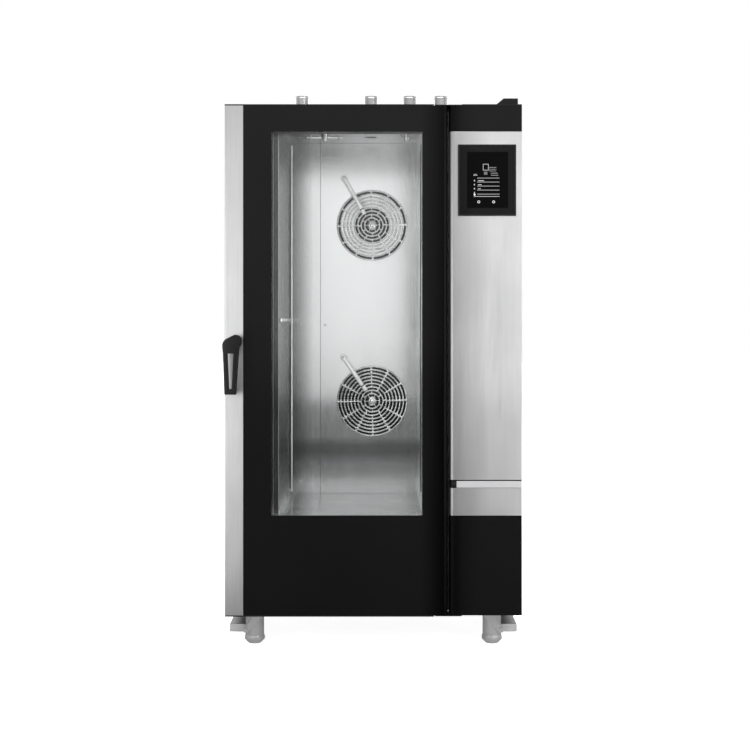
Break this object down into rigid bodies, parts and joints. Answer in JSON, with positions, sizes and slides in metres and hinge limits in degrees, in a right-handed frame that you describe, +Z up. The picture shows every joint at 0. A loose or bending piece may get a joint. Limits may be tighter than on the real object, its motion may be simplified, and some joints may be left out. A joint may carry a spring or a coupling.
{
  "type": "combi steamer oven",
  "caption": "Floor-standing combi steamer oven with a tall glass door, lever handle, twin rear fans, roof vents and a touch control column on the right.",
  "frame": {"origin": "on the floor, under the middle of the oven's plan", "axes": "+Z up, -Y out of the door side, +X towards the control column"},
  "size_m": [1.0015, 0.96, 1.9527],
  "materials": {
    "brushed_steel": "satin",
    "polished_steel": "polished",
    "galvanised_sheet": "satin",
    "black_coated_steel": "satin",
    "black_glass": "gloss",
    "door_glass": "gloss",
    "clear_glass": "gloss",
    "black_plastic": "satin",
    "silicone_rubber": "matte",
    "mineral_wool": "matte",
    "circuit_board": "satin",
    "motor_casting": "satin"
  },
  "bodies": {
    "cabinet": {"side_panel_left": "brushed_steel", "side_panel_right": "brushed_steel", "top_panel": "brushed_steel", "front_frame": "brushed_steel", "cavity_liner": "brushed_steel", "fan_baffle": "brushed_steel", "control_plate": "brushed_steel", "lower_plate": "brushed_steel", "seam_strip": "brushed_steel", "leg_front_left": "brushed_steel", "leg_front_right": "brushed_steel", "leg_rear_left": "brushed_steel", "leg_rear_right": "brushed_steel", "base_rail_left": "brushed_steel", "base_rail_right": "brushed_steel", "vent_tube_1": "polished_steel", "vent_tube_2": "polished_steel", "vent_tube_3": "polished_steel", "vent_tube_4": "polished_steel", "water_injector_upper": "polished_steel", "water_injector_lower": "polished_steel", "heating_ring_upper": "polished_steel", "heating_ring_lower": "polished_steel", "fan_grille_upper": "polished_steel", "fan_grille_lower": "polished_steel", "wall_bumper_left": "polished_steel", "latch_catch": "polished_steel", "water_inlet": "polished_steel", "base_plate": "galvanised_sheet", "back_panel": "galvanised_sheet", "hinge_bracket_lower": "galvanised_sheet", "hinge_bracket_upper": "galvanised_sheet", "drain_pipe": "galvanised_sheet", "column_channel": "black_coated_steel", "fascia_upper": "black_glass", "fascia_lower": "black_glass", "touch_display": "black_glass", "probe_socket": "black_plastic", "air_cowl": "black_plastic", "cable_gland": "black_plastic", "door_seal": "silicone_rubber", "insulation": "mineral_wool", "control_board": "circuit_board", "fan_motor_upper": "motor_casting", "fan_motor_lower": "motor_casting"},
    "door": {"door_frame": "black_coated_steel", "door_outer_glass": "door_glass", "door_inner_glass": "clear_glass", "door_stile": "brushed_steel", "door_drip_tray": "brushed_steel"},
    "handle": {"door_handle": "black_plastic", "latch_cam": "brushed_steel"},
    "fan_upper": {"fan_wheel_upper": "polished_steel"},
    "fan_lower": {"fan_wheel_lower": "polished_steel"},
    "wash_left": {"wash_arm_left": "polished_steel"},
    "wash_right": {"wash_arm_right": "polished_steel"},
    "foot_front_left": {"levelling_foot_front_left": "brushed_steel"},
    "foot_front_right": {"levelling_foot_front_right": "brushed_steel"},
    "foot_rear_left": {"levelling_foot_rear_left": "brushed_steel"},
    "foot_rear_right": {"levelling_foot_rear_right": "brushed_steel"}
  },
  "joints": [
    {"name": "door_swing", "type": "hinge", "parent": "cabinet", "child": "door", "pos_m": [0.2375, -0.404, 0.1255], "axis": [0, 0, 1], "range_deg": [0, 115]},
    {"name": "handle_turn", "type": "hinge", "parent": "door", "child": "handle", "pos_m": [-0.46, -0.418, 1.045], "axis": [0, 1, 0], "range_deg": [0, 90]},
    {"name": "fan_upper_spin", "type": "hinge", "parent": "cabinet", "child": "fan_upper", "pos_m": [-0.005, 0.29, 1.4846], "axis": [0, 1, 0], "continuous": true},
    {"name": "fan_lower_spin", "type": "hinge", "parent": "cabinet", "child": "fan_lower", "pos_m": [-0.005, 0.29, 0.8063], "axis": [0, 1, 0], "continuous": true},
    {"name": "wash_left_spin", "type": "hinge", "parent": "cabinet", "child": "wash_left", "pos_m": [-0.175, -0.088, 1.779], "axis": [0, 0, 1], "continuous": true},
    {"name": "wash_right_spin", "type": "hinge", "parent": "cabinet", "child": "wash_right", "pos_m": [0.122, -0.088, 1.779], "axis": [0, 0, 1], "continuous": true},
    {"name": "foot_front_left_adjust", "type": "slide", "parent": "cabinet", "child": "foot_front_left", "axis": [0, 0, -1], "range_m": [0, 0.025]},
    {"name": "foot_front_right_adjust", "type": "slide", "parent": "cabinet", "child": "foot_front_right", "axis": [0, 0, -1], "range_m": [0, 0.025]},
    {"name": "foot_rear_left_adjust", "type": "slide", "parent": "cabinet", "child": "foot_rear_left", "axis": [0, 0, -1], "range_m": [0, 0.025]},
    {"name": "foot_rear_right_adjust", "type": "slide", "parent": "cabinet", "child": "foot_rear_right", "axis": [0, 0, -1], "range_m": [0, 0.025]}
  ]
}
